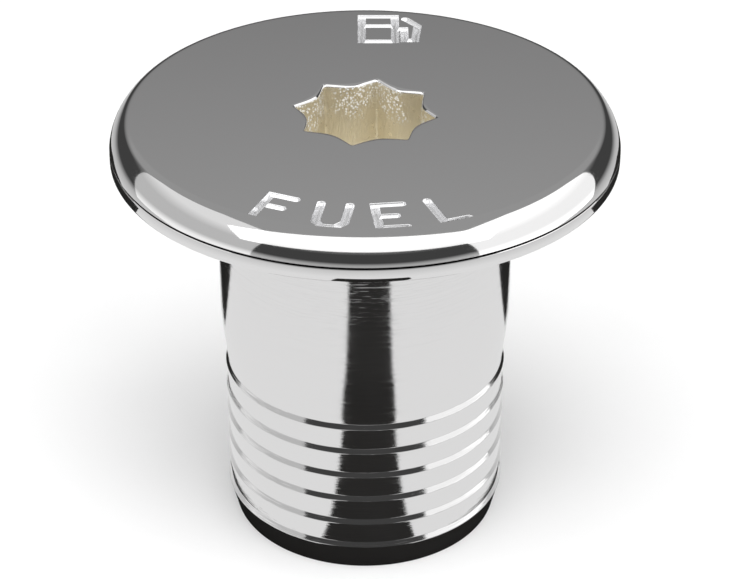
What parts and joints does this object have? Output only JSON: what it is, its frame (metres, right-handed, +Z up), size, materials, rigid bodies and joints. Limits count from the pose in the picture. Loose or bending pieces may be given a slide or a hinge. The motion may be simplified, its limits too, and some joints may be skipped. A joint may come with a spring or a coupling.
{
  "type": "deck fill cap",
  "caption": "Round screw-in deck fill cap with a star socket for a winch handle, in a flanged filler body with a barbed hose tail; a retained chain holds the cap.",
  "frame": {"origin": "centre of the flange's underside, on the deck", "axes": "+Z up through the cap along the axis of the neck, +Y towards the pump symbol, -Y towards the lettering"},
  "size_m": [0.089, 0.089, 0.0805],
  "materials": {
    "cap_chrome": "mirror-polished chrome plate on cast brass",
    "body_chrome": "polished chrome plate, finely turned on the neck",
    "seal_rubber": "matt black nitrile rubber",
    "bush_brass": "machined brass",
    "chain_nickel": "nickel-plated brass wire",
    "toggle_nickel": "nickel-plated brass bar"
  },
  "bodies": {
    "filler": {"filler_body": "body_chrome"},
    "seal": {"seal_ring": "seal_rubber"},
    "tether": {"swivel_eye": "chain_nickel"},
    "cap": {"cap": "cap_chrome", "swivel_bush": "bush_brass"},
    "chain": {"chain_link_1": "chain_nickel", "chain_link_2": "chain_nickel", "chain_link_3": "chain_nickel", "chain_link_4": "chain_nickel", "chain_link_5": "chain_nickel", "chain_link_6": "chain_nickel", "chain_link_7": "chain_nickel", "chain_link_8": "chain_nickel", "toggle_ring": "chain_nickel"},
    "toggle": {"toggle_bar": "toggle_nickel"}
  },
  "joints": [
    {"name": "cap_lift", "type": "slide", "parent": "filler", "child": "seal", "axis": [0, 0, 1], "range_m": [0, 0.045]},
    {"name": "cap_rise", "type": "slide", "parent": "seal", "child": "tether", "axis": [0, 0, 1], "range_m": [0, 0.00578]},
    {"name": "cap_turn", "type": "hinge", "parent": "tether", "child": "cap", "pos_m": [0, 0, 0], "axis": [0, 0, 1], "range_deg": [0, 900]},
    {"name": "chain_swing", "type": "hinge", "parent": "tether", "child": "chain", "pos_m": [0, 0, -0.0239], "axis": [1, 0, 0], "range_deg": [-6, 6]},
    {"name": "toggle_tilt", "type": "hinge", "parent": "chain", "child": "toggle", "pos_m": [0, 0, -0.06575], "axis": [0, 1, 0], "range_deg": [-45, 45]}
  ],
  "couplings": [
    {"joint": "cap_rise", "follows": "cap_turn", "m_per_rad": 0.00036749}
  ]
}
